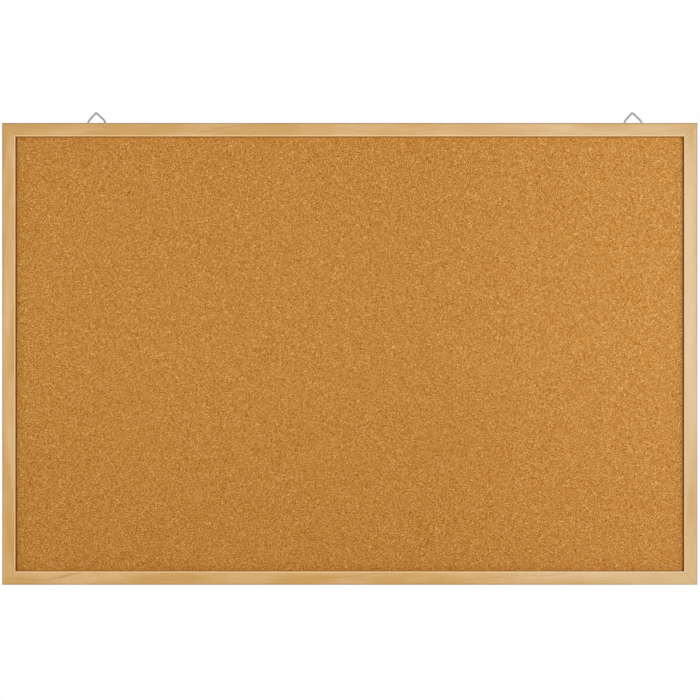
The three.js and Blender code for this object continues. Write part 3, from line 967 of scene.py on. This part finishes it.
class CORKBOARD_OT_rings(bpy.types.Operator):
    """Build the two triangular rings of bent wire"""

    bl_idname = "corkboard.rings"
    bl_label = "Rings"

    def execute(self, context):
        settings = context.scene.corkboard_hangers
        finish = steel("ring_steel", settings.steel_colour, roughness=0.3, grain=(700, 700, 700))
        for side in SIDES:
            node = f"{side}_hanger_ring"
            low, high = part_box(node)
            x, y, _ = middle_of(node)
            wire = (high.y - low.y) / 2
            line, outward = ring_line(settings, high.x - low.x - 2 * wire, high.z - low.z - 2 * wire)
            rows = round_wire(line, outward, wire, settings.wire_sides) + np.array((x, y, low.z + wire))
            piece(f"{side}_wire_ring", shell_of(rows), f"{side}_ring", node, finish)
        return {"FINISHED"}


def strap_line(bar, bottom):
    """The folded strap's middle line in y and z with its normals, from its inner end to its outer end.

    Straight up the rail's back, round the base bar, in through a small circle that touches the fold
    and the outer layer, and straight down again. The two circles' centres are apart by the sum of their
    radii, so the small one's drop squared is that sum squared less its way out from the bar squared.
    """
    half = STRAP_SHEET / 2
    fold = bar[0] - half
    outer = half + STRAP_SHEET + STRAP_SLIT
    neck_y = outer + NECK_ROUND
    drop = math.sqrt((fold + NECK_ROUND) ** 2 - (neck_y - bar[0]) ** 2)
    meet = math.atan2(-drop, neck_y - bar[0])
    corner = STRAP_CORNER * (1 - np.cos(np.linspace(0, math.pi / 2, CORNER_STATIONS)))
    up = np.concatenate([bottom + corner, np.linspace(bottom + STRAP_CORNER, bar[1], 24)[1:-1]])
    straight = np.linspace(bar[1] - drop, bottom + STRAP_CORNER, 16)[1:-1]
    down = np.concatenate([straight, bottom + corner[::-1]])
    line = np.concatenate(
        [
            np.stack([np.full(len(up), half), up], axis=-1),
            arc(bar, fold, math.pi, meet, 72),
            arc((neck_y, bar[1] - drop), NECK_ROUND, meet + math.pi, math.pi, 18)[1:],
            np.stack([np.full(len(down), outer), down], axis=-1),
        ]
    )
    normals = np.concatenate(
        [
            np.tile((-1.0, 0.0), (len(up), 1)),
            arc((0, 0), 1, math.pi, meet, 72),
            arc((0, 0), -1, meet + math.pi, math.pi, 18)[1:],
            np.tile((1.0, 0.0), (len(down), 1)),
        ]
    )
    return line, normals


def folded_strap(line, normals, width, bottom):
    """Sheet metal along a line: at each station a flat bar section with slightly rounded edges.

    Its half width is full, except near both ends, where it follows the quarter circles of the strap's
    corners: half - c + sqrt(c squared - (c - d) squared), at a distance d from the end.
    """
    edge = 0.00012
    x, y = width / 2 - edge, STRAP_SHEET / 2 - edge
    centres = ((x, y), (-x, y), (-x, -y), (x, -y))
    quarters = [
        arc(centre, edge, turn * math.pi / 2, (turn + 1) * math.pi / 2, 4)
        for turn, centre in enumerate(centres)
    ]
    across, through = np.concatenate(quarters).T
    station = np.arange(len(line))
    at_end = (station < CORNER_STATIONS) | (station >= len(line) - CORNER_STATIONS)
    gap = np.where(at_end, STRAP_CORNER - np.minimum(line[:, 1] - bottom, STRAP_CORNER), 0)
    narrow = STRAP_CORNER - np.sqrt(np.maximum(STRAP_CORNER**2 - gap**2, 0))
    return loops_of(
        across - np.sign(across) * narrow[:, None],
        line[:, None, 0] + through * normals[:, None, 0],
        line[:, None, 1] + through * normals[:, None, 1],
    )


class CORKBOARD_OT_straps(bpy.types.Operator):
    """Build the two straps, each folded from sheet round its ring's base bar"""

    bl_idname = "corkboard.straps"
    bl_label = "Straps"

    def execute(self, context):
        settings = context.scene.corkboard_hangers
        finish = steel("strap_steel", settings.steel_colour, roughness=0.34, grain=(1500, 1500, 120))
        for side in SIDES:
            node = f"{side}_hanger_strap"
            low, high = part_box(node)
            ring_low, ring_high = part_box(f"{side}_hanger_ring")
            bar = ((ring_low.y + ring_high.y) / 2, ring_low.z + (ring_high.y - ring_low.y) / 2)
            line, normals = strap_line(bar, low.z)
            rows = folded_strap(line, normals, high.x - low.x, low.z)
            rows[:, :, 0] += middle_of(node)[0]
            x, _, z = middle_of(f"{side}_hanger_screw")
            hole = cylinder((x, z), STRAP_HOLE, -CUT_PAST, bar[0] + CUT_PAST)
            piece(f"{side}_folded_strap", shell_of(rows), "board", node, finish, hole)
        return {"FINISHED"}


def pan_screw(radius, height, length, sides=48):
    """A pan-head screw along Y, its head's underside at 0: a radius for every station and angle.

    The head is a cap of a sphere with a tiny flat crown, then a quarter circle down to a short straight
    rim, and a small bevel under it. Below it the shank's radius rises and falls with depth / pitch plus
    the share of a turn, so that one ridge winds down it, and it tapers to a blunt point.
    """
    # Radii of the shoulder and of the inner end of the underside, the bevel, the domed part's height
    # over the rim, and half the crown's angle
    shoulder, inner, bevel, domed, crown = 0.0006, 0.0012, 0.00015, 0.001, 0.03
    rim = height - domed
    reach, rise = radius - shoulder, height - rim - shoulder
    dome = (reach**2 + rise**2) / (2 * rise)
    cap = arc((0, height - dome), dome, math.pi / 2 - crown, math.pi / 2 - math.asin(reach / dome), 14)
    side = arc((reach, rim), shoulder, math.pi / 2, 0, 8)[1:]
    under = np.array([(radius, bevel), (radius - bevel, 0.0), (inner, 0.0)])
    head = np.concatenate([cap, side, under])
    # The thread's pitch, the shank's radius between its turns, the point's length and its end's radius
    pitch, root, point, tip = 0.0013, 0.00105, 0.0024, 0.0002
    turn = np.linspace(0, 1, sides, endpoint=False)
    depth = np.linspace(0.00005, length, 150)
    taper = np.minimum(1, (length - depth) / point)[:, None]
    phase = (depth[:, None] / pitch + turn) % 1
    ridge = np.maximum(0, 1 - np.abs(2 * phase - 1) / 0.5)
    shank = tip + taper * (root - tip + ridge * (THREAD_ROUND - root))
    out = np.concatenate([np.repeat(head[:, :1], sides, axis=1), shank])
    level = np.concatenate([head[:, 1], -depth])
    return loops_of(out * np.cos(2 * math.pi * turn), level[:, None], out * np.sin(2 * math.pi * turn))


def cross_recess(height, span=0.003, slot=0.00075, deep=0.0011):
    """The cross in the screw's head: a plus sign carried down into the head, its four wings drawing
    in and its slots narrowing as it goes."""
    share = np.array([-0.6, 0.0, 0.5, 1.0])[:, None]
    long = span / 2 * (1 - 0.42 * np.maximum(share, 0))
    wide = slot / 2 * (1 - 0.25 * np.maximum(share, 0))
    x = np.concatenate([long, long, wide, wide, -wide, -wide, -long, -long, -wide, -wide, wide, wide], 1)
    z = np.concatenate([-wide, wide, wide, long, long, wide, wide, -wide, -wide, -long, -long, -wide], 1)
    return loops_of(x, height - deep * share, z)


class CORKBOARD_OT_screws(bpy.types.Operator):
    """Build the two pan-head screws that hold the straps"""

    bl_idname = "corkboard.screws"
    bl_label = "Screws"

    def execute(self, context):
        settings = context.scene.corkboard_hangers
        finish = steel("screw_steel", settings.steel_colour, roughness=0.3, grain=(1200, 1200, 1200))
        seat = 2 * STRAP_SHEET + STRAP_SLIT
        for side in SIDES:
            node = f"{side}_hanger_screw"
            low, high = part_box(node)
            x, _, z = middle_of(node)
            place = np.array((x, seat, z))
            head = high.y - seat
            rows = pan_screw((high.x - low.x) / 2, head, seat - low.y) + place
            recess = shell_of(cross_recess(head) + place)
            piece(f"{side}_pan_screw", shell_of(rows), "board", node, finish, recess)
        return {"FINISHED"}


# Studio


def white_where_seen(tree, share, lit, white):
    """White, to that share, for the camera, reflections and clear material, and lit for other light."""
    rays = add_node(tree, "ShaderNodeLightPath")
    seen = reckon(tree, "MAXIMUM", rays.outputs["Is Camera Ray"], rays.outputs["Is Glossy Ray"])
    seen = reckon(tree, "MAXIMUM", seen, rays.outputs["Is Transmission Ray"])
    made = add_node(tree, "ShaderNodeMixShader", {0: times(tree, seen, share), 1: lit, 2: white})
    return made.outputs["Shader"]


def white_world(settings):
    """White behind everything, and a weaker even light for the object itself."""
    world = bpy.data.worlds.new("studio")
    world.use_nodes = True
    world.cycles.sampling_method = "NONE"
    tree = world.node_tree
    tree.nodes.clear()
    white = add_node(tree, "ShaderNodeBackground", {"Color": (1, 1, 1, 1), "Strength": 1.0})
    fill = add_node(
        tree, "ShaderNodeBackground", {"Color": (1, 0.99, 0.975, 1), "Strength": settings.fill_strength}
    )
    either = white_where_seen(tree, 1.0, fill.outputs["Background"], white.outputs["Background"])
    add_node(tree, "ShaderNodeOutputWorld", {"Surface": either})
    return world


def studio_floor(settings, level):
    """A wide pale floor. It keeps shadows near the board, and further out it fades to plain white
    for the camera: the share of white rises with the distance from the board's foot."""
    mesh = bpy.data.meshes.new("studio_floor")
    corners = [(x * FLOOR_REACH, y * FLOOR_REACH, level) for x, y in ((-1, -1), (1, -1), (1, 1), (-1, 1))]
    mesh.from_pydata(corners, [], [(0, 1, 2, 3)])
    floor = bpy.data.objects.new("studio_floor", mesh)
    bpy.context.scene.collection.objects.link(floor)
    material, tree, shader = new_finish("floor", Roughness=0.8, Specular_IOR_Level=0.1)
    shader.inputs["Base Color"].default_value = (*settings.floor_colour, 1.0)
    where = add_node(tree, "ShaderNodeTexCoord").outputs["Object"]
    flat = reckon_places(tree, "MULTIPLY", {0: where, 1: (1.0, 1.0, 0.0)})
    far = reckon_places(tree, "LENGTH", {0: flat}, "Value")
    white = add_node(tree, "ShaderNodeEmission", {"Color": (1, 1, 1, 1), "Strength": 1.0})
    share = spread(tree, far, *FLOOR_FADE)
    either = white_where_seen(tree, share, shader.outputs["BSDF"], white.outputs["Emission"])
    output = next(node for node in tree.nodes if node.type == "OUTPUT_MATERIAL")
    tree.links.new(either, output.inputs["Surface"])
    mesh.materials.append(material)


def softbox(name, power, place, target, width, height):
    """A rectangular lamp at place, facing target, itself unseen by the camera."""
    lamp = bpy.data.lights.new(name, "AREA")
    lamp.shape = "RECTANGLE"
    lamp.size = width
    lamp.size_y = height
    lamp.energy = power
    made = bpy.data.objects.new(name, lamp)
    made.location = place
    made.rotation_euler = (Vector(target) - Vector(place)).to_track_quat("-Z", "Y").to_euler()
    made.visible_camera = False
    bpy.context.scene.collection.objects.link(made)


class CORKBOARD_OT_studio(bpy.types.Operator):
    """Set up the floor, the lamps, the white surroundings and the camera"""

    bl_idname = "corkboard.studio"
    bl_label = "Studio"

    def execute(self, context):
        settings = context.scene.corkboard_studio
        scene = context.scene
        middle = (0.0, OUTER_LOW.y, MIDDLE_Z)
        scene.world = white_world(settings)
        studio_floor(settings, OUTER_LOW.z - settings.floor_drop)
        for name, power, place, width, height in SOFTBOXES:
            softbox(name, getattr(settings, power), place, middle, width, height)
        lens = bpy.data.cameras.new("camera")
        lens.sensor_width = 36
        lens.lens = lens.sensor_width * settings.camera_distance / settings.picture_width
        camera = bpy.data.objects.new("camera", lens)
        camera.location = (CAMERA_X, OUTER_LOW.y - settings.camera_distance, MIDDLE_Z + settings.camera_rise)
        camera.rotation_euler = (math.pi / 2, 0, 0)
        scene.collection.objects.link(camera)
        scene.camera = camera
        scene.view_settings.view_transform = "Standard"
        return {"FINISHED"}


# Add-on

GROUPS = (
    ("corkboard_moulding", MouldingSettings, "Frame", ("corkboard.moulding",)),
    ("corkboard_panel", PanelSettings, "Panel", ("corkboard.panel",)),
    (
        "corkboard_hangers",
        HangerSettings,
        "Hangers and Nails",
        ("corkboard.rings", "corkboard.straps", "corkboard.screws", "corkboard.v_nails"),
    ),
    ("corkboard_studio", StudioSettings, "Studio", ("corkboard.studio",)),
)


class CORKBOARD_PT_sidebar(bpy.types.Panel):
    """Sizes and colours of the cork board, with a button for each piece"""

    bl_idname = "CORKBOARD_PT_sidebar"
    bl_label = "Cork Board"
    bl_space_type = "VIEW_3D"
    bl_region_type = "UI"
    bl_category = "Cork Board"

    def draw(self, context):
        for group, settings, title, operators in GROUPS:
            box = self.layout.box()
            box.label(text=title)
            values = getattr(context.scene, group)
            for name in settings.__annotations__:
                box.prop(values, name)
            for operator in operators:
                box.operator(operator)


OPERATORS = (
    CORKBOARD_OT_moulding,
    CORKBOARD_OT_panel,
    CORKBOARD_OT_rings,
    CORKBOARD_OT_straps,
    CORKBOARD_OT_screws,
    CORKBOARD_OT_v_nails,
    CORKBOARD_OT_studio,
)


def register():
    for group, settings, _, _ in GROUPS:
        bpy.utils.register_class(settings)
        setattr(bpy.types.Scene, group, PointerProperty(type=settings))
    for operator in OPERATORS:
        bpy.utils.register_class(operator)
    bpy.utils.register_class(CORKBOARD_PT_sidebar)


def unregister():
    bpy.utils.unregister_class(CORKBOARD_PT_sidebar)
    for operator in reversed(OPERATORS):
        bpy.utils.unregister_class(operator)
    for group, settings, _, _ in reversed(GROUPS):
        delattr(bpy.types.Scene, group)
        bpy.utils.unregister_class(settings)


def main():
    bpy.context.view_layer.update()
    register()
    bpy.ops.corkboard.moulding()
    bpy.ops.corkboard.panel()
    bpy.ops.corkboard.rings()
    bpy.ops.corkboard.straps()
    bpy.ops.corkboard.screws()
    bpy.ops.corkboard.v_nails()
    bpy.ops.corkboard.studio()
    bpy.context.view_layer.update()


if __name__ == "__main__":
    main()
